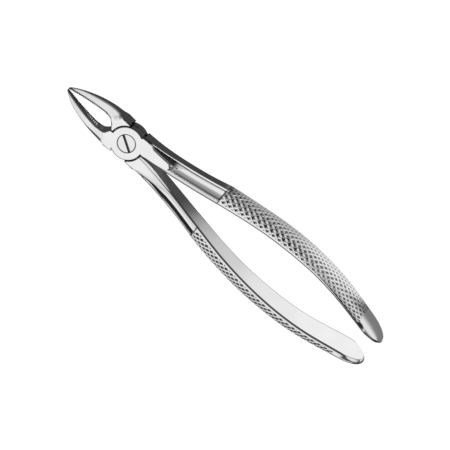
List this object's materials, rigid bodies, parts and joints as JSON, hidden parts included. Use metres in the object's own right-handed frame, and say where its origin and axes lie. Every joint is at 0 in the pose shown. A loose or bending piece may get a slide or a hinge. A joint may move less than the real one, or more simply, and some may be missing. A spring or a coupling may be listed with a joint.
{
  "type": "extraction forceps",
  "caption": "Straight dental extraction forceps: pointed concave beaks, screwed lap joint, fluted shanks and long curved handles with diamond knurling.",
  "frame": {"origin": "on the pivot axis, at the joint's back face", "axes": "+X along the instrument from the pivot to the handle ends, +Y across it to the front half's handle, +Z along the pivot axis to the screw head"},
  "size_m": [0.1759, 0.0388, 0.0156],
  "materials": {
    "polished_steel": "mirror-polished stainless steel, diamond-knurled grips",
    "screw_steel": "fine-turned and polished stainless steel"
  },
  "bodies": {
    "rear": {"rear_half": "polished_steel", "pivot_screw": "screw_steel"},
    "front": {"front_half": "polished_steel"}
  },
  "joints": [
    {"name": "pivot", "type": "hinge", "parent": "rear", "child": "front", "pos_m": [0, 0, 0], "axis": [0, 0, 1], "range_deg": [0, 50]}
  ]
}
